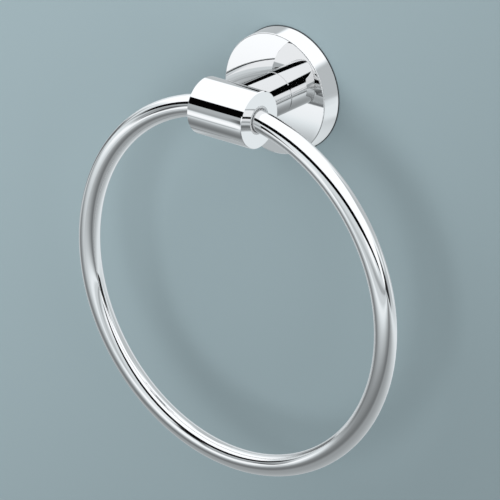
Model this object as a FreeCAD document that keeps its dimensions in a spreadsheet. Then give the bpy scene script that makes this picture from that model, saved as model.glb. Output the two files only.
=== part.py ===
import FreeCAD, Part
import math
import os
import re

import Sketcher

# Towel ring
# The wall is the plane y = 0 and the product stands out from it towards -Y, with +Z up.
# The origin is the centre of the wall plate's back edge. All sizes are in millimetres.
# The ring swings in two bushes about the crossbar's axis, which is parallel to X.

doc = FreeCAD.newDocument("TowelRing")

# Driving sizes: alias, value and what it is
SIZES = [
    ("plate_d", 51.0, "wall plate, diameter at its face"),
    ("plate_flare", 0.5, "how much the plate's rim widens towards the wall, on the radius"),
    ("plate_depth", 8.8, "wall plate, from the wall to its face"),
    ("plate_face_wall", 2.5, "thickness of the plate's face"),
    ("plate_rim_wall", 2.0, "thickness of the plate's rim at the face"),
    ("plate_edge", 0.4, "round on the edge of the plate's face"),
    ("plate_back_edge", 0.3, "round on the plate's outer edge at the wall"),
    ("bracket_gap", 0.25, "gap between the bracket and the inside of the plate's rim"),
    ("bracket_wall", 2.0, "thickness of the bracket's steel"),
    ("bracket_bend", 1.0, "round on the bracket's outer bend"),
    ("bracket_headroom", 0.5, "gap between the bracket's rim and the plate's face, inside"),
    ("bracket_opening_d", 14.0, "opening in the bracket for the arm screw's head"),
    ("wall_screw_spacing", 30.0, "distance between the two wall screw holes"),
    ("wall_screw_hole_d", 5.0, "wall screw holes"),
    ("clamp_screw_d", 3.0, "grub screw in the plate's rim"),
    ("clamp_screw_height", 3.9, "grub screw's axis, from the wall"),
    ("clamp_screw_recess", 0.3, "how far the grub screw lies below the rim's surface"),
    ("clamp_screw_grip", 1.6, "how far its point reaches into the bracket's rim"),
    ("clamp_screw_socket", 1.5, "grub screw's hexagon socket, across flats and deep"),
    ("arm_d", 18.0, "arm, diameter"),
    ("arm_edge", 0.3, "chamfer on the arm's edge at the plate"),
    ("axis_height", 35.8, "crossbar's axis, from the wall"),
    ("crossbar_d", 23.6, "crossbar, diameter"),
    ("crossbar_length", 27.5, "crossbar, end to end"),
    ("crossbar_edge", 0.3, "chamfer on the crossbar's ends"),
    ("crossbar_web", 9.5, "solid middle of the crossbar, between the two bush bores"),
    ("seat_lip", 0.5, "least depth of the arm's seat in the crossbar"),
    ("seat_wall", 1.0, "least wall between the arm's seat and the bush bores"),
    ("screw_d", 5.0, "arm screw, shank diameter"),
    ("screw_head_d", 8.5, "arm screw, head diameter"),
    ("screw_head_height", 3.3, "arm screw, head height"),
    ("screw_socket", 4.0, "arm screw's hexagon socket, across flats"),
    ("screw_socket_depth", 2.0, "depth of that socket"),
    ("thread_depth", 8.0, "depth of the tapped hole under the arm's seat"),
    ("screw_end_gap", 0.8, "gap between the arm screw's end and the hole's end"),
    ("washer_d", 9.2, "spring washer, outer diameter"),
    ("washer_thickness", 1.2, "spring washer, thickness"),
    ("washer_split", 12.0, "angle of the spring washer's split, in degrees"),
    ("rod_d", 9.0, "ring's rod, diameter"),
    ("ring_d", 155.0, "ring, diameter of the rod's centre line"),
    ("rod_entry", 0.8, "how far the rod's shoulder lies inside the crossbar's end"),
    ("pin_d", 6.0, "pins on the ends of the rod"),
    ("pin_end_gap", 0.5, "gap between a pin's end and the end of its bore"),
    ("bush_band", 1.35, "width of the bush that shows round the rod"),
    ("mouth_gap", 0.35, "gap round the rod's end in the bush's mouth"),
    ("mouth_flare", 0.2, "how much that mouth widens outwards"),
    ("end_play", 0.3, "gap between the rod's shoulder and the bush"),
    ("pin_play", 0.05, "running clearance on the radius between pin and bush"),
    ("close_fit", 0.05, "clearance on the radius where a fixed piece sits in a bore"),
]

sheet = doc.addObject("Spreadsheet::Sheet", "Sizes")
for row, (alias, number, meaning) in enumerate(SIZES, start=1):
    sheet.set(f"A{row}", alias)
    sheet.set(f"B{row}", str(number))
    sheet.setAlias(f"B{row}", alias)
    sheet.set(f"C{row}", meaning)
doc.recompute()

ALIASES = "|".join(alias for alias, number, meaning in SIZES)


def sized(text):
    """Return an expression with the sheet's name put before each alias in it."""
    return re.sub(rf"\b({ALIASES})\b", r"Sizes.\1", text)


def value(text):
    """Work an expression out as a plain number."""
    return float(sheet.evalExpression(sized(text)))


# Derived places, each an expression of the driving sizes
# Inside the wall plate
PLATE_BORE_R = "(plate_d / 2 - plate_rim_wall)"
PLATE_FLOOR = "(plate_depth - plate_face_wall)"
BRACKET_R = f"({PLATE_BORE_R} - bracket_gap)"
BRACKET_TOP = f"({PLATE_FLOOR} - bracket_headroom)"
RIM_R_AT_CLAMP = "(plate_d / 2 + plate_flare * (1 - clamp_screw_height / plate_depth))"
CLAMP_OUTER = f"({RIM_R_AT_CLAMP} - clamp_screw_recess)"
CLAMP_TIP = f"({BRACKET_R} - clamp_screw_grip)"

# From the arm's seat in the crossbar to the screw that holds it
SEAT_CHORD = "sqrt(max(crossbar_d * crossbar_d / 4 - arm_d * arm_d / 4; 0))"
SEAT_FLAT = f"max({SEAT_CHORD} - seat_lip; rod_d / 2 + bush_band + seat_wall)"
SEAT_FROM_WALL = f"(axis_height - {SEAT_FLAT})"
SCREW_HOLE_R = "(screw_d / 2 + close_fit)"
HEAD_SEAT = f"({PLATE_FLOOR} - washer_thickness)"
HOLE_END = f"({SEAT_FROM_WALL} + thread_depth)"
SCREW_END = f"({HOLE_END} - screw_end_gap)"

# Bushes, pins and ring
BORE_R = "(rod_d / 2 + bush_band)"
BORE_END = "(crossbar_web / 2)"
HALF_BAR = "(crossbar_length / 2)"
SHOULDER = f"({HALF_BAR} - rod_entry)"
MOUTH_FLOOR = f"({SHOULDER} - end_play)"
MOUTH_R = "(rod_d / 2 + mouth_gap)"
RING_DROP = f"sqrt(ring_d * ring_d / 4 - {SHOULDER} * {SHOULDER})"


def new_body(label):
    """Start a sub-part: a body whose label is its own name."""
    body = doc.addObject("PartDesign::Body", label)
    body.Label = label
    return body


def place(body, x="0", y="0", z="0", turn=None):
    """Put a body at a point given by expressions, turned by a rotation if one is given."""
    if turn is not None:
        body.Placement = FreeCAD.Placement(FreeCAD.Vector(), turn)
    for axis, text in (("x", x), ("y", y), ("z", z)):
        body.setExpression(f"Placement.Base.{axis}", sized(text))


def origin_plane(body, role):
    """Find one of a body's own origin planes by its role."""
    return next(f for f in body.Origin.OriginFeatures if f.Role == role)


def new_sketch(body, name, plane, offset=None):
    """Attach a sketch to an origin plane, moved along the plane's normal by an expression."""
    sketch = body.newObject("Sketcher::SketchObject", name)
    sketch.AttachmentSupport = [(origin_plane(body, plane), "")]
    sketch.MapMode = "FlatFace"
    if offset is not None:
        sketch.setExpression("AttachmentOffset.Base.z", sized(offset))
    return sketch


def pin_point(sketch, geometry, point, u, v):
    """Hold one point of a sketch at two expressions, measured from the sketch's origin."""
    for kind, text in (("DistanceX", u), ("DistanceY", v)):
        constraint = Sketcher.Constraint(kind, -1, 1, geometry, point, value(text))
        index = sketch.addConstraint(constraint)
        sketch.setExpression(f"Constraints[{index}]", sized(text))


def outline(body, name, plane, corners, offset=None):
    """Draw a closed outline of straight edges through corners given as expressions."""
    sketch = new_sketch(body, name, plane, offset)
    points = [FreeCAD.Vector(value(u), value(v), 0) for u, v in corners]
    count = len(points)
    for i in range(count):
        sketch.addGeometry(Part.LineSegment(points[i], points[(i + 1) % count]), False)
    for i in range(count):
        sketch.addConstraint(Sketcher.Constraint("Coincident", i, 2, (i + 1) % count, 1))
    for i, (u, v) in enumerate(corners):
        pin_point(sketch, i, 1, u, v)
    return sketch


def circles(body, name, plane, diameter, centres, offset=None):
    """Draw equal circles at centres given as expressions."""
    sketch = new_sketch(body, name, plane, offset)
    for i, (u, v) in enumerate(centres):
        centre = FreeCAD.Vector(value(u), value(v), 0)
        circle = Part.Circle(centre, FreeCAD.Vector(0, 0, 1), value(diameter) / 2)
        sketch.addGeometry(circle, False)
        pin_point(sketch, i, 3, u, v)
        index = sketch.addConstraint(Sketcher.Constraint("Diameter", i, value(diameter)))
        sketch.setExpression(f"Constraints[{index}]", sized(diameter))
    return sketch


def hexagon(body, name, plane, across_flats, offset):
    """Draw a regular hexagon about the sketch's origin."""
    corners = []
    for i in range(6):
        reach = f"{across_flats} / sqrt(3)"
        corners.append((f"{reach} * cos({60 * i}deg)", f"{reach} * sin({60 * i}deg)"))
    return outline(body, name, plane, corners, offset)


def turn_about(body, name, sketch, axis):
    """Turn a closed profile about one of its sketch's own axes."""
    feature = body.newObject("PartDesign::Revolution", name)
    feature.Profile = sketch
    feature.ReferenceAxis = (sketch, [axis])
    feature.Angle = 360
    return feature


def cut(body, name, sketch, depth=None, towards_normal=False):
    """Cut a sketch into the body, to a depth or right through, and see that it removed something."""
    doc.recompute()
    before = body.Shape.Volume
    feature = body.newObject("PartDesign::Pocket", name)
    feature.Profile = sketch
    feature.Reversed = towards_normal
    if depth is None:
        feature.Type = "ThroughAll"
    else:
        feature.setExpression("Length", sized(depth))
    doc.recompute()
    if not body.Shape.Volume < before:
        raise RuntimeError(f"{body.Label}: {name} removed nothing")
    return feature


def round_edges(body, name, kind, size, radius, level):
    """Fillet or chamfer the body's circular edges about its Y axis at a radius and a level."""
    doc.recompute()
    base = body.Tip
    names = []
    for i, edge in enumerate(base.Shape.Edges, start=1):
        curve = edge.Curve
        if isinstance(curve, Part.Circle):
            same_radius = abs(curve.Radius - value(radius)) < 1e-4
            same_level = abs(curve.Center.y - value(level)) < 1e-4
            if same_radius and same_level:
                names.append(f"Edge{i}")
    feature = body.newObject(f"PartDesign::{kind}", name)
    feature.Base = (base, names)
    feature.setExpression("Radius" if kind == "Fillet" else "Size", sized(size))
    return feature


def make_wall_plate():
    """Turned cup: flat face, flared rim, a hole for the arm screw and one for the clamp screw."""
    body = new_body("wall_plate")
    profile = outline(body, "plate_profile", "XY_Plane", [
        (SCREW_HOLE_R, "-plate_depth"),
        ("plate_d / 2", "-plate_depth"),
        ("plate_d / 2 + plate_flare", "0"),
        (PLATE_BORE_R, "0"),
        (PLATE_BORE_R, f"-{PLATE_FLOOR}"),
        (SCREW_HOLE_R, f"-{PLATE_FLOOR}"),
    ])
    turn_about(body, "plate_turning", profile, "V_Axis")
    round_edges(body, "plate_face_round", "Fillet", "plate_edge", "plate_d / 2", "-plate_depth")
    round_edges(body, "plate_back_round", "Fillet", "plate_back_edge", "plate_d / 2 + plate_flare", "0")
    hole = circles(body, "clamp_hole_sketch", "XY_Plane", "clamp_screw_d + 2 * close_fit",
                   [("0", "-clamp_screw_height")])
    cut(body, "clamp_hole", hole)
    place(body)
    return body


def make_wall_bracket():
    """Pressed steel dish that stays on the wall, with a rim that the clamp screw grips."""
    body = new_body("wall_bracket")
    profile = outline(body, "dish_profile", "XY_Plane", [
        ("bracket_opening_d / 2", "0"),
        (BRACKET_R, "0"),
        (BRACKET_R, f"-{BRACKET_TOP}"),
        (f"{BRACKET_R} - bracket_wall", f"-{BRACKET_TOP}"),
        (f"{BRACKET_R} - bracket_wall", "-bracket_wall"),
        ("bracket_opening_d / 2", "-bracket_wall"),
    ])
    turn_about(body, "dish_turning", profile, "V_Axis")
    round_edges(body, "dish_bend", "Fillet", "bracket_bend", BRACKET_R, "0")
    holes = circles(body, "wall_screw_sketch", "XZ_Plane", "wall_screw_hole_d",
                    [("-wall_screw_spacing / 2", "0"), ("wall_screw_spacing / 2", "0")])
    cut(body, "wall_screw_holes", holes, towards_normal=True)
    grip = circles(body, "grip_hole_sketch", "XY_Plane", "clamp_screw_d + 4 * close_fit",
                   [("0", "-clamp_screw_height")])
    cut(body, "grip_hole", grip)
    place(body)
    return body


def make_clamp_screw():
    """Grub screw, upright under the plate, with its socket facing down and its point up."""
    body = new_body("clamp_screw")
    length = f"({CLAMP_OUTER} - {CLAMP_TIP})"
    point = "clamp_screw_d / 4"
    profile = outline(body, "grub_profile", "XZ_Plane", [
        ("0", "0"),
        ("clamp_screw_d / 2", "0"),
        ("clamp_screw_d / 2", f"{length} - {point}"),
        ("clamp_screw_d / 2 - " + point, length),
        ("0", length),
    ])
    turn_about(body, "grub_turning", profile, "V_Axis")
    socket = hexagon(body, "grub_socket_sketch", "XY_Plane", "clamp_screw_socket", "0")
    cut(body, "grub_socket", socket, "clamp_screw_socket", towards_normal=True)
    place(body, y="-clamp_screw_height", z=f"-{CLAMP_OUTER}")
    return body


def make_arm():
    """Round post between the plate's face and its seat in the crossbar, bored for the screw."""
    body = new_body("arm")
    profile = outline(body, "arm_profile", "XY_Plane", [
        (SCREW_HOLE_R, "-plate_depth"),
        ("arm_d / 2 - arm_edge", "-plate_depth"),
        ("arm_d / 2", "-plate_depth - arm_edge"),
        ("arm_d / 2", f"-{SEAT_FROM_WALL}"),
        (SCREW_HOLE_R, f"-{SEAT_FROM_WALL}"),
    ])
    turn_about(body, "arm_turning", profile, "V_Axis")
    place(body)
    return body


def make_arm_screw():
    """Socket head screw that draws plate, arm and crossbar together from inside the plate."""
    body = new_body("arm_screw")
    head_top = f"({HEAD_SEAT} - screw_head_height)"
    profile = outline(body, "screw_profile", "XY_Plane", [
        ("0", f"-{head_top}"),
        ("screw_head_d / 2", f"-{head_top}"),
        ("screw_head_d / 2", f"-{HEAD_SEAT}"),
        ("screw_d / 2", f"-{HEAD_SEAT}"),
        ("screw_d / 2", f"-{SCREW_END} + screw_d / 8"),
        ("screw_d * 3 / 8", f"-{SCREW_END}"),
        ("0", f"-{SCREW_END}"),
    ])
    turn_about(body, "screw_turning", profile, "V_Axis")
    socket = hexagon(body, "screw_socket_sketch", "XZ_Plane", "screw_socket", head_top)
    cut(body, "screw_socket_cut", socket, "screw_socket_depth", towards_normal=True)
    place(body)
    return body


def make_spring_washer():
    """Split ring between the screw's head and the plate."""
    body = new_body("spring_washer")
    profile = outline(body, "washer_profile", "XY_Plane", [
        (SCREW_HOLE_R, f"-{PLATE_FLOOR}"),
        ("washer_d / 2", f"-{PLATE_FLOOR}"),
        ("washer_d / 2", f"-{HEAD_SEAT}"),
        (SCREW_HOLE_R, f"-{HEAD_SEAT}"),
    ])
    turning = turn_about(body, "washer_turning", profile, "V_Axis")
    turning.setExpression("Angle", sized("360 - washer_split"))
    place(body)
    return body


def make_crossbar():
    """Turned cylinder with a blind bore in each end, and a flat-bottomed seat for the arm."""
    body = new_body("crossbar")
    bar_r = "crossbar_d / 2"
    profile = outline(body, "bar_profile", "XY_Plane", [
        (f"-{BORE_END}", "0"),
        (f"-{BORE_END}", BORE_R),
        (f"-{HALF_BAR}", BORE_R),
        (f"-{HALF_BAR}", f"{bar_r} - crossbar_edge"),
        (f"-{HALF_BAR} + crossbar_edge", bar_r),
        (f"{HALF_BAR} - crossbar_edge", bar_r),
        (HALF_BAR, f"{bar_r} - crossbar_edge"),
        (HALF_BAR, BORE_R),
        (BORE_END, BORE_R),
        (BORE_END, "0"),
    ])
    turn_about(body, "bar_turning", profile, "H_Axis")
    seat_r = "arm_d / 2 + close_fit"
    outside = f"{bar_r} + seat_lip"
    seat = outline(body, "seat_profile", "XY_Plane", [
        ("0", outside),
        ("0", f"{SEAT_FLAT} - thread_depth"),
        (SCREW_HOLE_R, f"{SEAT_FLAT} - thread_depth"),
        (SCREW_HOLE_R, SEAT_FLAT),
        (seat_r, SEAT_FLAT),
        (seat_r, outside),
    ])
    doc.recompute()
    before = body.Shape.Volume
    groove = body.newObject("PartDesign::Groove", "arm_seat")
    groove.Profile = seat
    groove.ReferenceAxis = (seat, ["V_Axis"])
    groove.Angle = 360
    doc.recompute()
    if not body.Shape.Volume < before:
        raise RuntimeError("crossbar: the arm's seat removed nothing")
    place(body, y="-axis_height")
    return body


def make_bush(label, side):
    """Plastic bush in one end of the crossbar: a plain bore for the pin and a flared mouth."""
    body = new_body(label)
    pin_hole = "pin_d / 2 + pin_play"
    outer = f"{BORE_R} - close_fit"
    profile = outline(body, label + "_profile", "XY_Plane", [
        (BORE_END, pin_hole),
        (MOUTH_FLOOR, pin_hole),
        (MOUTH_FLOOR, MOUTH_R),
        (HALF_BAR, f"{MOUTH_R} + mouth_flare"),
        (HALF_BAR, outer),
        (BORE_END, outer),
    ])
    turn_about(body, label + "_turning", profile, "H_Axis")
    half_turn = FreeCAD.Rotation(FreeCAD.Vector(0, 0, 1), 0 if side > 0 else 180)
    place(body, y="-axis_height", turn=half_turn)
    return body


def make_ring():
    """Rod bent to a circle, cut off square at the crossbar, with a turned pin on each end.

    The body's own origin is the circle's centre, so the crossbar's axis is at z = RING_DROP.
    """
    body = new_body("ring")
    section = circles(body, "rod_section", "YZ_Plane", "rod_d", [("0", "-ring_d / 2")])
    turn_about(body, "hoop", section, "H_Axis")
    gap = outline(body, "gap_sketch", "XZ_Plane", [
        (f"-{SHOULDER}", f"{RING_DROP} - rod_d"),
        (SHOULDER, f"{RING_DROP} - rod_d"),
        (SHOULDER, f"{RING_DROP} + 2 * rod_d"),
        (f"-{SHOULDER}", f"{RING_DROP} + 2 * rod_d"),
    ])
    doc.recompute()
    gap_cut = body.newObject("PartDesign::Pocket", "gap_cut")
    gap_cut.Profile = gap
    gap_cut.Type = "ThroughAll"
    gap_cut.Midplane = True
    pin_tip = f"{BORE_END} + pin_end_gap"
    pin_edge = "pin_d / 12"
    pin_root = f"{SHOULDER} + rod_d / 6"
    for side, sign in (("left", "-"), ("right", "")):
        level = RING_DROP
        profile = outline(body, side + "_pin_profile", "XZ_Plane", [
            (f"{sign}({pin_tip})", level),
            (f"{sign}({pin_tip})", f"{level} + pin_d / 2 - {pin_edge}"),
            (f"{sign}({pin_tip} + {pin_edge})", f"{level} + pin_d / 2"),
            (f"{sign}({pin_root})", f"{level} + pin_d / 2"),
            (f"{sign}({pin_root})", level),
        ])
        pin = body.newObject("PartDesign::Revolution", side + "_pin")
        pin.Profile = profile
        pin.ReferenceAxis = (profile, ["Edge5"])
        pin.Angle = 360
        doc.recompute()
    place(body, y="-axis_height", z=f"-{RING_DROP}")
    return body


bodies = [
    make_wall_plate(),
    make_wall_bracket(),
    make_clamp_screw(),
    make_arm(),
    make_arm_screw(),
    make_spring_washer(),
    make_crossbar(),
    make_bush("left_bush", -1),
    make_bush("right_bush", 1),
    make_ring(),
]
doc.recompute()

for item in doc.Objects:
    if {"Invalid", "Error"} & set(item.State):
        raise RuntimeError(f"{item.Label} is in state {item.State}")
for body in bodies:
    shape = body.Shape
    if shape.isNull() or not shape.isValid() or len(shape.Solids) != 1:
        raise RuntimeError(f"{body.Label} isn't one valid solid")

os.makedirs("parts", exist_ok=True)
for body in bodies:
    body.Shape.exportStep(f"parts/{body.Label}.step")
    centre = body.Shape.CenterOfGravity
    place_text = f"({centre.x:.2f}, {centre.y:.2f}, {centre.z:.2f})"
    print(f"{body.Label}: volume {body.Shape.Volume:.1f} mm3, centre {place_text}")
print(f"ring centre below the crossbar's axis: {value(RING_DROP):.4f}")
print(f"arm's seat from the wall: {value(SEAT_FROM_WALL):.4f}")
print(f"entry angle of the rod: {math.degrees(math.asin(value(SHOULDER) / value('ring_d / 2'))):.2f}")
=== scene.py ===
import math

import bpy
import numpy as np
from bpy.props import FloatProperty, FloatVectorProperty, PointerProperty
from mathutils import Matrix, Vector


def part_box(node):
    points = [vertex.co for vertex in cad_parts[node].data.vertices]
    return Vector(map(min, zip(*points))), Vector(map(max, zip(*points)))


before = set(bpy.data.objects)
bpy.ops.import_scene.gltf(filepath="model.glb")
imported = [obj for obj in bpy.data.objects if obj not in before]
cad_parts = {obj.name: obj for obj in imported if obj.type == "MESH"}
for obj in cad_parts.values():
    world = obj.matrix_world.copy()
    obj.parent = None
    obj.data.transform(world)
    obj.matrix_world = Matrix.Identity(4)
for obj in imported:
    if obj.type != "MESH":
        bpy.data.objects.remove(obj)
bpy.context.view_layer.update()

bl_info = {
    "name": "Towel ring",
    "version": (1, 0, 0),
    "blender": (4, 5, 0),
    "location": "View3D > Sidebar > Towel ring",
    "description": "Dresses a wall-mounted towel ring and sets it before a plain wall",
    "category": "Object",
}


# Settings that a user would change

class FinishSettings(bpy.types.PropertyGroup):
    """Colours and gloss of the product's finishes."""

    chrome: FloatVectorProperty(
        name="Chrome", description="Colour that the chrome gives to what it mirrors",
        subtype="COLOR", size=3, min=0.0, max=1.0, default=(0.80, 0.80, 0.80))
    chrome_roughness: FloatProperty(
        name="Chrome roughness", description="Least roughness of the polished chrome",
        subtype="FACTOR", min=0.0, max=1.0, default=0.015)
    bush: FloatVectorProperty(
        name="Bush", description="Colour of the plastic bushes",
        subtype="COLOR", size=3, min=0.0, max=1.0, default=(0.74, 0.75, 0.76))
    zinc: FloatVectorProperty(
        name="Zinc", description="Colour of the zinc plating on the hidden hardware",
        subtype="COLOR", size=3, min=0.0, max=1.0, default=(0.62, 0.63, 0.65))


class StageSettings(bpy.types.PropertyGroup):
    """The wall, the lights and the camera."""

    wall: FloatVectorProperty(
        name="Wall", description="Colour of the wall",
        subtype="COLOR", size=3, min=0.0, max=1.0, default=(0.352, 0.451, 0.485))
    wall_size: FloatProperty(
        name="Wall size", description="Width and height of the wall",
        unit="LENGTH", min=0.5, default=4.0)
    azimuth: FloatProperty(
        name="Azimuth", description="Where the camera stands, from the front towards the right",
        subtype="ANGLE", default=math.radians(38.673))
    elevation: FloatProperty(
        name="Elevation", description="How far the camera looks down",
        subtype="ANGLE", default=math.radians(23.492))
    roll: FloatProperty(
        name="Roll", description="Turn of the camera about its own line of sight",
        subtype="ANGLE", default=math.radians(0.044))
    distance: FloatProperty(
        name="Distance", description="From the camera to the point that it aims at",
        unit="LENGTH", min=0.1, default=1.264)
    aim: FloatVectorProperty(
        name="Aim", description="Point at the middle of the picture",
        subtype="TRANSLATION", size=3, default=(0.00916, -0.0358, -0.0572))
    lens: FloatProperty(
        name="Lens", description="Focal length of the camera, for a sensor 36 mm wide",
        min=10.0, default=225.53)


# Node trees

def grey(value):
    """A colour of one grey, with full cover."""
    return (value, value, value, 1.0)


class Tree:
    """A short way to write a node tree: adds nodes and gives their inputs values or links."""

    def __init__(self, tree):
        self.tree = tree
        tree.nodes.clear()

    def add(self, kind, settings=None, **inputs):
        """Add a node, set its properties, and give each input that is named a value or a link.

        An input goes by its name, with _ for each space, or by the letter i and its number.
        """
        node = self.tree.nodes.new(kind)
        for name, value in (settings or {}).items():
            setattr(node, name, value)
        for name, value in inputs.items():
            key = int(name[1:]) if name[0] == "i" and name[1:].isdigit() else name.replace("_", " ")
            socket = node.inputs[key]
            if isinstance(value, bpy.types.NodeSocket):
                self.tree.links.new(value, socket)
            else:
                socket.default_value = value
        return node

    def place(self):
        """The point's place in object coordinates."""
        return self.add("ShaderNodeTexCoord").outputs["Object"]

    def split(self, vector):
        """The X, Y and Z of a vector."""
        return self.add("ShaderNodeSeparateXYZ", None, Vector=vector).outputs

    def math(self, operation, *values):
        """A math node of one operation."""
        inputs = {f"i{i}": value for i, value in enumerate(values)}
        return self.add("ShaderNodeMath", {"operation": operation}, **inputs).outputs[0]

    def product(self, values):
        """All the values multiplied together."""
        result, *rest = values
        for value in rest:
            result = self.math("MULTIPLY", result, value)
        return result

    def noise(self, place, scale, detail, roughness):
        """Noise with so many grains to the metre, and so many finer layers at so much strength."""
        return self.add("ShaderNodeTexNoise", None, Vector=place, Scale=scale, Detail=detail,
                        Roughness=roughness).outputs["Fac"]

    def bump(self, height, strength, depth):
        """A normal that follows a height, whose full depth is in metres."""
        return self.add("ShaderNodeBump", None, Strength=strength, Distance=depth,
                        Height=height).outputs["Normal"]

    def spread(self, value, start=(0.0, 1.0), end=(0.0, 1.0), kind="LINEAR"):
        """Carry a value from one range to another and stop it at that one's ends."""
        return self.add("ShaderNodeMapRange", {"interpolation_type": kind}, Value=value,
                        From_Min=start[0], From_Max=start[1],
                        To_Min=end[0], To_Max=end[1]).outputs["Result"]

    def rise(self, value, edge, soft):
        """From 0 to 1 as the value passes a soft edge; from 1 to 0 where the softness is negative."""
        return self.spread(value, (edge - soft / 2, edge + soft / 2), kind="SMOOTHSTEP")

    def ramp(self, factor, stops):
        """A colour ramp of greys, from pairs of position and linear grey."""
        node = self.add("ShaderNodeValToRGB", None, Fac=factor)
        elements = node.color_ramp.elements
        while len(elements) < len(stops):
            elements.new(0.5)
        for element, (position, value) in zip(elements, stops):
            element.position = position
            element.color = grey(value)
        return node.outputs["Color"]

    def mix(self, share, first, second, kind="RGBA"):
        """The first value, and the second by its share."""
        node = self.add("ShaderNodeMix", {"data_type": kind}, Factor=share, A=first, B=second)
        return node.outputs["Result"]

    def cover(self, share, under, over):
        """One shader, and another over it by its share."""
        return self.add("ShaderNodeMixShader", None, i0=share, i1=under.outputs[0],
                        i2=over.outputs[0]).outputs[0]

    def finish(self, shader, kind="ShaderNodeOutputMaterial"):
        """End the tree in a shader."""
        self.add(kind, None, Surface=shader)


def new_material(name):
    """An empty node material and its tree."""
    material = bpy.data.materials.new(name)
    material.use_nodes = True
    return material, Tree(material.node_tree)


# Finishes of the product

# Noise of each finish: its grains to the metre, how many finer layers it has, and their strength
CHROME_SMEARS = (60.0, 4.0, 0.6)
CHROME_PEEL = (900.0, 2.0, 0.5)
PLASTIC_GRAIN = (1500.0, 3.0, 0.5)
ZINC_GRAIN = (1200.0, 3.0, 0.5)

# Bump of each finish: its strength, and its full depth in metres
CHROME_BUMP = (0.02, 0.00002)
PLASTIC_BUMP = (0.15, 0.00005)
ZINC_BUMP = (0.1, 0.00005)

# Chrome is least rough where the smears' noise is below the first limit, and so many times as rough
# where it is above the second
SMEAR_LIMITS = (0.35, 0.8)
SMEAR_ROUGHNESS = 3.0

# Least and most roughness
PLASTIC_ROUGHNESS = (0.38, 0.52)
ZINC_ROUGHNESS = (0.28, 0.45)

# Patches of zinc to the metre, and the share of the full colour that the darkest of them lack
BRACKET_ZINC = (400.0, 0.25)
SCREW_ZINC = (900.0, 0.4)


def chrome_material(name, finish):
    """Polished chrome: a mirror with faint smears in its gloss and a nearly flat orange peel."""
    material, tree = new_material(name)
    place = tree.place()
    least = finish.chrome_roughness
    rough = tree.spread(tree.noise(place, *CHROME_SMEARS), SMEAR_LIMITS,
                        (least, least * SMEAR_ROUGHNESS))
    peel = tree.bump(tree.noise(place, *CHROME_PEEL), *CHROME_BUMP)
    shader = tree.add("ShaderNodeBsdfPrincipled", None, Base_Color=(*finish.chrome, 1.0),
                      Metallic=1.0, Roughness=rough, Normal=peel)
    tree.finish(shader.outputs[0])
    return material


def bush_material(name, finish):
    """Moulded grey plastic with a fine grain."""
    material, tree = new_material(name)
    grain = tree.noise(tree.place(), *PLASTIC_GRAIN)
    shader = tree.add("ShaderNodeBsdfPrincipled", None, Base_Color=(*finish.bush, 1.0),
                      Roughness=tree.spread(grain, end=PLASTIC_ROUGHNESS),
                      Normal=tree.bump(grain, *PLASTIC_BUMP))
    tree.finish(shader.outputs[0])
    return material


def zinc_material(name, finish, patches, darkness):
    """Zinc-plated steel: a dull metal whose gloss and tone vary in small patches."""
    material, tree = new_material(name)
    place = tree.place()
    cells = tree.add("ShaderNodeTexVoronoi", None, Vector=place, Scale=patches).outputs["Color"]
    tone = tree.add("ShaderNodeRGBToBW", None, Color=cells).outputs["Val"]
    dark = [channel * (1.0 - darkness) for channel in finish.zinc]
    fine = tree.noise(place, *ZINC_GRAIN)
    shader = tree.add("ShaderNodeBsdfPrincipled", None,
                      Base_Color=tree.mix(tone, (*dark, 1.0), (*finish.zinc, 1.0)),
                      Metallic=1.0, Roughness=tree.spread(tone, end=ZINC_ROUGHNESS),
                      Normal=tree.bump(fine, *ZINC_BUMP))
    tree.finish(shader.outputs[0])
    return material


def dress_node(name, material):
    """Give a CAD node's slots one material."""
    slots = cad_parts[name].data.materials
    for i in range(len(slots)):
        slots[i] = material


class TOWELRING_OT_finish_chrome(bpy.types.Operator):
    """Put polished chrome on the plate, arm, crossbar and ring"""
    bl_idname = "towelring.finish_chrome"
    bl_label = "Finish chrome"

    def execute(self, context):
        material = chrome_material("polished_chrome", context.scene.towel_ring_finish)
        for name in ("wall_plate", "arm", "crossbar", "ring"):
            dress_node(name, material)
        return {"FINISHED"}


class TOWELRING_OT_finish_bushes(bpy.types.Operator):
    """Put grey plastic on the two bushes"""
    bl_idname = "towelring.finish_bushes"
    bl_label = "Finish bushes"

    def execute(self, context):
        material = bush_material("grey_plastic", context.scene.towel_ring_finish)
        for name in ("left_bush", "right_bush"):
            dress_node(name, material)
        return {"FINISHED"}


class TOWELRING_OT_finish_hardware(bpy.types.Operator):
    """Put zinc plating on the bracket, the screws and the washer"""
    bl_idname = "towelring.finish_hardware"
    bl_label = "Finish hardware"

    def execute(self, context):
        finish = context.scene.towel_ring_finish
        dress_node("wall_bracket", zinc_material("zinc_plate", finish, *BRACKET_ZINC))
        screws = zinc_material("zinc_screws", finish, *SCREW_ZINC)
        for name in ("clamp_screw", "arm_screw", "spring_washer"):
            dress_node(name, screws)
        return {"FINISHED"}


# Studio that the chrome mirrors

# It is a round tent of grey panels, level and parallel to the wall, with the object inside it. A place
# on it is told by its turn about the tent's middle line, 0 straight out from the wall, 90 up, -90 down
# and 180 behind the wall, and by its lean, how far it stands to the right of the middle, both in degrees
# as seen from there. Greys are as they look on screen once the chrome has mirrored them, from 0 to 255,
# and a lit panel is a little over that. CHROME_SHARE is how much light the chrome gives back.
TENT_RADIUS = 0.22
TENT_LENGTH = 2.6
TENT_MIDDLE = (0.0, -0.10, -0.02)
WHITE = 257
BLACK = 4
CHROME_SHARE = 0.8

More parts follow.
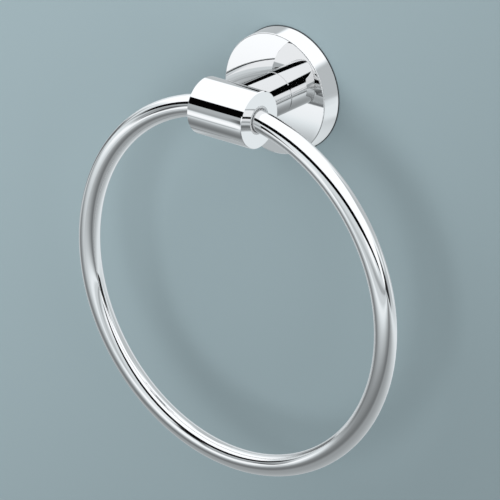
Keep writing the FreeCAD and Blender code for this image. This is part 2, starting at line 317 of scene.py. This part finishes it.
# Greys round the tent, as pairs of turn and grey
ROOM = (
    (-180, 188), (-162, 186), (-150, 225), (-145, 222), (-138, 204), (-130, 190), (-118, 173),
    (-106, 161), (-96, 152), (-86, 149), (-82, 138), (-78, 119), (-73, 112), (-66, 124), (-58, 143),
    (-50, 170), (-44, 193), (-38, 221), (-34, 235), (-31, 232), (-27, 206), (-22, 206), (-17, 196),
    (-12, 182), (-7, 189), (0, 210), (14, 218), (30, 212), (154, 250), (161, 234), (170, 206), (180, 190))
LEFT_FLOOR = (
    (-180, 210), (-166, 212), (-154, 172), (-146, 132), (-138, 212), (-130, 204), (-120, 172),
    (-111, 159), (-103, 162), (-95, 152), (-88, 131), (-82, 116), (-76, 119), (-69, 128), (-61, 143),
    (-53, 166), (-46, 200), (-42, 214), (-37, 228), (-34, 236), (-31, 244), (-24, 254), (-16, 242),
    (-11, 235), (-7.5, 172), (-2.5, 153), (6, 169), (30, 182), (60, 240), (180, 225))
SCREEN = (
    (-38, 220), (-30, 236), (-24, 254), (-18, 246), (-12, 240), (-4, 232), (6, 230), (24, 236))
LEFT_END = (
    (-180, 118), (-150, 126), (-140, 166), (-126, 204), (-110, 194), (-90, 170), (-74, 154), (-62, 158),
    (-50, 182), (-41, 203), (-34, 224), (0, 220), (20, 208), (32, 160), (44, 150), (54, 178), (64, 205),
    (84, 225), (112, 228), (130, 206), (144, 170), (160, 142), (180, 124))

# Panels laid over the room one after another, each with its grey or greys and its edges. An edge has
# what it is measured along, where it lies and how soft it is, and a panel lies below it where the
# softness is negative. Besides turn and lean, "back" is the turn without its sign, "slant" is the lean
# less a share of the turn, and "flag_low" and "flag_high" are the turn less a share of the lean.
PANELS = (
    # bright screen before the object, its right side slanting
    (SCREEN, (("slant", -8.0, -14.0), ("turn", -38.0, 3.0), ("turn", 60.0, -5.0))),
    # floor behind the wall, a little to the left
    (170, (("lean", -36.0, 4.0), ("lean", -27.0, -8.0), ("turn", -156.0, 6.0), ("turn", -108.0, -12.0))),
    # everything further left, with a patch of shade on the floor before the wall
    (LEFT_FLOOR, (("lean", -35.0, -2.5),)),
    (180, (("lean", -46.0, 2.0), ("turn", -41.5, 2.0), ("turn", -34.8, -3.6), ("lean", -40.0, -1.0))),
    # narrow dark screen at the left, a bright one at the right, and a grey strip under that
    (84, (("lean", -57.0, 3.0), ("lean", -51.0, -3.0), ("turn", -23.0, 3.0), ("turn", 2.0, -8.0))),
    (248, (("lean", 47.0, 12.0), ("lean", 65.0, -10.0), ("turn", 2.0, 12.0))),
    (166, (("lean", 30.0, 14.0), ("turn", -17.5, 4.0), ("turn", -8.5, -4.0))),
    # ceiling
    (WHITE, (("turn", 40.0, 1.0), ("turn", 154.5, -5.0))),
    # grey post at the left, and the tent's left end
    (153, (("lean", -57.0, -5.0), ("lean", -63.0, 3.0), ("back", 16.0, -4.0))),
    (LEFT_END, (("lean", -68.0, -9.0),)),
    # patches behind the wall, low and high
    (230, (("lean", 21.0, 6.0), ("lean", 36.0, -8.0), ("turn", -176.0, 5.0), ("turn", -158.0, -6.0))),
    (184, (("lean", 20.0, 8.0), ("lean", 41.0, -8.0), ("turn", 150.0, 4.0))),
    (184, (("lean", -33.0, 5.0), ("lean", -18.5, -6.0), ("turn", 150.0, 3.0))),
    # dark corners behind the wall, at the right end and at the left
    (38, (("lean", 58.5, 13.0), ("back", 153.0, 8.0))),
    (104, (("lean", -55.0, -18.0), ("turn", -142.0, -6.0))),
    # black flag under the ceiling
    (BLACK, (("flag_low", 25.4, 1.4), ("flag_high", 55.4, -1.4), ("lean", -74.0, 8.0),
             ("lean", 79.0, -8.0))),
)
SCREEN_SLANT = -0.33
FLAG_LOW_TILT = -0.07
FLAG_HIGH_TILT = -0.02

# Cool tint of the grey panels and a fainter one of the lit panels, and the linear value between them
GREY_TINT = (0.936, 1.0, 1.033)
LIT_TINT = (0.976, 1.0, 1.024)
LIT_FROM = 1.06
LIT_SOFTNESS = 0.2

# Cards near the object: name, grey, corners, and the soft edges, each with its axis, where the card is
# clear and where it is full
CARDS = (
    # before the object's lower left, facing the wall
    ("front_card", 24,
     ((-0.11, -0.205, -0.08), (-0.11, -0.205, 0.012), (-0.05, -0.205, 0.012), (-0.05, -0.205, -0.08)),
     (("X", -0.110, -0.096), ("X", -0.058, -0.072), ("Z", -0.080, -0.042), ("Z", 0.012, 0.004))),
    # inside the ring, facing left
    ("ring_card", 30,
     ((0.0, -0.034, -0.0984), (0.0, -0.034, -0.087), (0.0, 0.003, -0.087), (0.0, 0.003, -0.0984)),
     (("Y", -0.034, -0.029), ("Y", 0.003, -0.008), ("Z", -0.0984, -0.0976), ("Z", -0.087, -0.091))),
)


def panel_grey(value):
    """Linear value of a panel that looks this grey once mirrored, by the screen's standard curve."""
    level = value / 255.0
    linear = level / 12.92 if level <= 0.04045 else ((level + 0.055) / 1.055) ** 2.4
    return linear / CHROME_SHARE


def tent_material():
    """The room's greys along the turn, the panels over them, and the tint.

    The turn is the arctangent of the height over the distance from the wall, and the lean the
    arctangent of the sideways distance over the distance from the middle line.
    """
    material, tree = new_material("studio_tent")
    middle = tree.add("ShaderNodeVectorMath", {"operation": "SUBTRACT"}, i0=tree.place(), i1=TENT_MIDDLE)
    part = tree.split(middle.outputs["Vector"])
    out = tree.math("MULTIPLY", part["Y"], -1.0)
    up = part["Z"]
    reach = tree.math("SQRT", tree.math("MULTIPLY_ADD", out, out, tree.math("MULTIPLY", up, up)))
    degree = 180.0 / math.pi
    turn = tree.math("MULTIPLY", tree.math("ARCTAN2", up, out), degree)
    lean = tree.math("MULTIPLY", tree.math("ARCTAN2", part["X"], reach), degree)
    along = {
        "turn": turn,
        "lean": lean,
        "back": tree.math("ABSOLUTE", turn),
        "slant": tree.math("MULTIPLY_ADD", turn, SCREEN_SLANT, lean),
        "flag_low": tree.math("MULTIPLY_ADD", lean, FLAG_LOW_TILT, turn),
        "flag_high": tree.math("MULTIPLY_ADD", lean, FLAG_HIGH_TILT, turn),
    }
    turned = tree.math("MULTIPLY_ADD", turn, 1.0 / 360.0, 0.5)

    def greys(panel):
        """The one grey of a panel, or the ramp of its greys along the turn."""
        if isinstance(panel, tuple):
            return tree.ramp(turned, [(0.5 + degrees / 360.0, panel_grey(value))
                                      for degrees, value in panel])
        return grey(panel_grey(panel))

    studio = greys(ROOM)
    for panel, edges in PANELS:
        share = tree.product([tree.rise(along[name], place, soft) for name, place, soft in edges])
        studio = tree.mix(share, studio, greys(panel))
    tint = tree.mix(tree.rise(studio, LIT_FROM, LIT_SOFTNESS), GREY_TINT, LIT_TINT, "VECTOR")
    tinted = tree.add("ShaderNodeVectorMath", {"operation": "MULTIPLY"}, i0=studio, i1=tint)
    light = tree.add("ShaderNodeEmission", None, Color=tinted.outputs["Vector"])
    tree.finish(light.outputs[0])
    return material


def circle(steps):
    """Points round a circle of radius 1: the cosine and the sine of even steps of angle."""
    angle = np.linspace(0.0, 2.0 * math.pi, steps, endpoint=False)
    return np.stack([np.cos(angle), np.sin(angle)], axis=1)


def band(steps):
    """The numbers of a loop's points, those of the next ones, and the faces to a second loop.

    The second loop's points are numbered on from the first's.
    """
    here = np.arange(steps)
    there = (here + 1) % steps
    return here, there, np.stack([here, there, there + steps, here + steps], axis=1).tolist()


def seen_in_mirrors(name, points, faces, material):
    """Add a piece of the studio that only mirroring surfaces see, and that isn't sampled as a lamp."""
    material.cycles.emission_sampling = "NONE"
    mesh = bpy.data.meshes.new(name)
    mesh.from_pydata(points, [], faces)
    mesh.materials.append(material)
    item = bpy.data.objects.new(name, mesh)
    bpy.context.collection.objects.link(item)
    item.visible_camera = False
    item.visible_diffuse = False
    item.visible_shadow = False
    item.visible_transmission = False
    item.visible_volume_scatter = False


def make_tent():
    """Closed round tube about the tent's middle line, seen only by what mirrors it.

    A point is an end of the middle line across, and the circle's point by the tent's radius out and
    up. A fan about the middle line's end closes each end of the tube.
    """
    steps = 96
    ends = np.array([-0.5, 0.5]) * TENT_LENGTH
    loops = np.column_stack([np.repeat(ends, steps), np.tile(circle(steps) * TENT_RADIUS, (2, 1))])
    middles = np.column_stack([ends, np.zeros(2), np.zeros(2)])
    points = np.concatenate([loops, middles]) + np.array(TENT_MIDDLE)
    here, there, sides = band(steps)
    left = np.stack([here, there, np.full(steps, 2 * steps)], axis=1).tolist()
    right = np.stack([there + steps, here + steps, np.full(steps, 2 * steps + 1)], axis=1).tolist()
    seen_in_mirrors("tent", points.tolist(), sides + left + right, tent_material())


def card_material(name, value, edges):
    """Grey on a flat panel's front, fading to nothing past its soft edges; nothing on its back."""
    material, tree = new_material(name)
    part = tree.split(tree.place())
    front = tree.math("SUBTRACT", 1.0, tree.add("ShaderNodeNewGeometry").outputs["Backfacing"])
    shares = [tree.spread(part[axis], (clear, full), kind="SMOOTHSTEP") for axis, clear, full in edges]
    share = tree.product([front, *shares])
    dark = tree.add("ShaderNodeEmission", None, Color=grey(panel_grey(value)))
    tree.finish(tree.cover(share, tree.add("ShaderNodeBsdfTransparent"), dark))
    return material


def make_cards():
    """Flat upright sheets between four corners each, seen only by what mirrors their fronts."""
    for name, value, corners, edges in CARDS:
        seen_in_mirrors(name, corners, [(0, 1, 2, 3)], card_material(f"studio_{name}", value, edges))


# Wall, lights and camera

# Plain light from all sides, and the colour that the camera, mirrors and glass see there
WORLD_STRENGTH = 0.47
WORLD_SEEN = (0.62, 0.70, 0.72, 1.0)

# Painted shade in place of the lamps' falloff: the paint darkens to a share of its colour towards the
# lower right. A point's place on that slant is so much of its place across and so much of its place
# up, in metres, and the painted shade runs between two such places
PAINTED_SHADE_SHARE = 0.62
SLANT_ACROSS = 0.75
SLANT_UP = -0.66
PAINTED_SHADE_RANGE = (-0.22, 0.34)

# Noise and bump of the paint, told as the finishes' are
PAINT_GRAIN = (700.0, 2.0, 0.5)
PAINT_BUMP = (0.08, 0.0002)

# Painted contact shadow, a dark line round the plate's foot: its colour, and the radii between which it
# gives way to paint
PAINTED_CONTACT_SHADOW = (0.055, 0.064, 0.068, 1.0)
PAINTED_CONTACT_SHADOW_EDGE = (0.0261, 0.0266)

# How far the wall's sheet lies behind the plate's back edge, in metres, and the width of its hole as a
# share of the plate's
WALL_SETBACK = 0.0002
WALL_HOLE = 0.985

# Lamps: name, place, width of the square and power in watts; all of them point at one place
LAMPS = (
    ("front_light", (0.13, -1.5, 0.02), 0.95, 8.0),
    ("high_light", (-0.9, -1.3, 1.1), 1.6, 12.0),
    ("side_light", (1.6, -0.5, 0.1), 1.2, 9.0),
)
LAMP_AIM = (0.0, 0.0, -0.05)

# Width of the camera's sensor in millimetres, and the nearest and furthest that it sees in metres
SENSOR_WIDTH = 36.0
NEAREST_SEEN = 0.01
FURTHEST_SEEN = 50.0


def make_world():
    """Plain light from all sides, which the camera sees as a pale colour."""
    world = bpy.data.worlds.new("studio")
    bpy.context.scene.world = world
    world.use_nodes = True
    tree = Tree(world.node_tree)
    plain = tree.add("ShaderNodeBackground", None, Color=grey(1.0), Strength=WORLD_STRENGTH)
    seen = tree.add("ShaderNodeBackground", None, Color=WORLD_SEEN)
    path = tree.add("ShaderNodeLightPath").outputs
    shiny = tree.math("MAXIMUM", path["Is Glossy Ray"], path["Is Transmission Ray"])
    shown = tree.math("MAXIMUM", path["Is Camera Ray"], shiny)
    tree.finish(tree.cover(shown, plain, seen), "ShaderNodeOutputWorld")


def wall_material(settings):
    """Matt paint on the wall's room side, with painted shade to the lower right; nothing on its far side.

    The paint's share of its full colour falls along one diagonal of the wall as painted shade, and to
    nearly nothing in a thin line round the plate's foot as a painted contact shadow.
    """
    material, tree = new_material("wall_paint")
    place = tree.place()
    part = tree.split(place)
    across = tree.math("MULTIPLY", part["X"], SLANT_ACROSS)
    slant = tree.math("MULTIPLY_ADD", part["Z"], SLANT_UP, across)
    # painted shade: the wall's colour darkens towards the lower right in place of the lamps' falloff
    painted_shade = tree.spread(slant, PAINTED_SHADE_RANGE, kind="SMOOTHERSTEP")
    dull = [channel * PAINTED_SHADE_SHARE for channel in settings.wall]
    paint = tree.mix(painted_shade, (*settings.wall, 1.0), (*dull, 1.0))
    radius = tree.math("SQRT", tree.math("MULTIPLY_ADD", part["X"], part["X"],
                                         tree.math("MULTIPLY", part["Z"], part["Z"])))
    # painted contact shadow: the wall's colour goes nearly black in a thin ring round the plate's foot
    line = tree.spread(radius, PAINTED_CONTACT_SHADOW_EDGE, kind="SMOOTHSTEP")
    grain = tree.bump(tree.noise(place, *PAINT_GRAIN), *PAINT_BUMP)
    matt = tree.add("ShaderNodeBsdfDiffuse", None, Color=tree.mix(line, PAINTED_CONTACT_SHADOW, paint), Normal=grain)
    behind = tree.add("ShaderNodeNewGeometry").outputs["Backfacing"]
    tree.finish(tree.cover(behind, matt, tree.add("ShaderNodeBsdfTransparent")))
    return material


def make_wall(settings):
    """Flat sheet on the plane of the wall with a round hole behind the plate.

    The grid runs round the hole and outwards: a point is the circle's point at the hole and the
    square's point at the rim.
    """
    steps = 128
    low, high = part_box("wall_plate")
    hole = (high.x - low.x) / 2 * WALL_HOLE
    inner = circle(steps)
    square = inner / np.abs(inner).max(axis=1, keepdims=True)
    flat = np.concatenate([inner * hole, square * settings.wall_size / 2])
    points = np.stack([flat[:, 0], np.full(len(flat), WALL_SETBACK), flat[:, 1]], axis=1)
    faces = band(steps)[2]
    mesh = bpy.data.meshes.new("wall")
    mesh.from_pydata(points.tolist(), [], faces)
    if mesh.polygons[0].normal.y > 0:
        mesh.flip_normals()
    mesh.materials.append(wall_material(settings))
    wall = bpy.data.objects.new("wall", mesh)
    bpy.context.collection.objects.link(wall)
    wall.visible_glossy = False


def make_lamps():
    """Square soft lights, turned towards one point and unseen by what mirrors them."""
    for name, place, size, power in LAMPS:
        light = bpy.data.lights.new(name, "AREA")
        light.shape = "SQUARE"
        light.size = size
        light.energy = power
        lamp = bpy.data.objects.new(name, light)
        lamp.location = place
        lamp.rotation_euler = (Vector(LAMP_AIM) - Vector(place)).to_track_quat("-Z", "Y").to_euler()
        lamp.visible_glossy = False
        bpy.context.collection.objects.link(lamp)


def make_camera(settings):
    """The camera stands on the line from its aim, at its azimuth, elevation and distance."""
    azimuth = settings.azimuth
    elevation = settings.elevation
    back = Vector((math.sin(azimuth) * math.cos(elevation),
                   -math.cos(azimuth) * math.cos(elevation),
                   math.sin(elevation)))
    data = bpy.data.cameras.new("camera")
    data.sensor_width = SENSOR_WIDTH
    data.lens = settings.lens
    data.clip_start = NEAREST_SEEN
    data.clip_end = FURTHEST_SEEN
    camera = bpy.data.objects.new("camera", data)
    bpy.context.collection.objects.link(camera)
    right = Vector((0.0, 0.0, 1.0)).cross(back).normalized()
    up = back.cross(right)
    turned = Matrix.Rotation(settings.roll, 3, "Z")
    basis = Matrix((right, up, back)).transposed() @ turned
    place = Matrix.Translation(Vector(settings.aim) + back * settings.distance)
    camera.matrix_world = place @ basis.to_4x4()
    bpy.context.scene.camera = camera


class TOWELRING_OT_make_stage(bpy.types.Operator):
    """Set up the studio, the wall, the lights and the camera"""
    bl_idname = "towelring.make_stage"
    bl_label = "Make stage"

    def execute(self, context):
        settings = context.scene.towel_ring_stage
        make_world()
        make_tent()
        make_cards()
        make_wall(settings)
        make_lamps()
        make_camera(settings)
        context.scene.view_settings.view_transform = "Standard"
        return {"FINISHED"}


# Add-on

STEPS = (
    TOWELRING_OT_finish_chrome,
    TOWELRING_OT_finish_bushes,
    TOWELRING_OT_finish_hardware,
    TOWELRING_OT_make_stage,
)


class TOWELRING_PT_panel(bpy.types.Panel):
    """Lists the steps that dress the towel ring"""
    bl_idname = "TOWELRING_PT_panel"
    bl_label = "Towel ring"
    bl_space_type = "VIEW_3D"
    bl_region_type = "UI"
    bl_category = "Towel ring"

    def draw(self, context):
        for step in STEPS:
            self.layout.operator(step.bl_idname)


CLASSES = (FinishSettings, StageSettings, *STEPS, TOWELRING_PT_panel)


def register():
    for item in CLASSES:
        bpy.utils.register_class(item)
    bpy.types.Scene.towel_ring_finish = PointerProperty(type=FinishSettings)
    bpy.types.Scene.towel_ring_stage = PointerProperty(type=StageSettings)


def unregister():
    del bpy.types.Scene.towel_ring_stage
    del bpy.types.Scene.towel_ring_finish
    for item in reversed(CLASSES):
        bpy.utils.unregister_class(item)


def main():
    register()
    bpy.ops.towelring.finish_chrome()
    bpy.ops.towelring.finish_bushes()
    bpy.ops.towelring.finish_hardware()
    bpy.ops.towelring.make_stage()


if __name__ == "__main__":
    main()
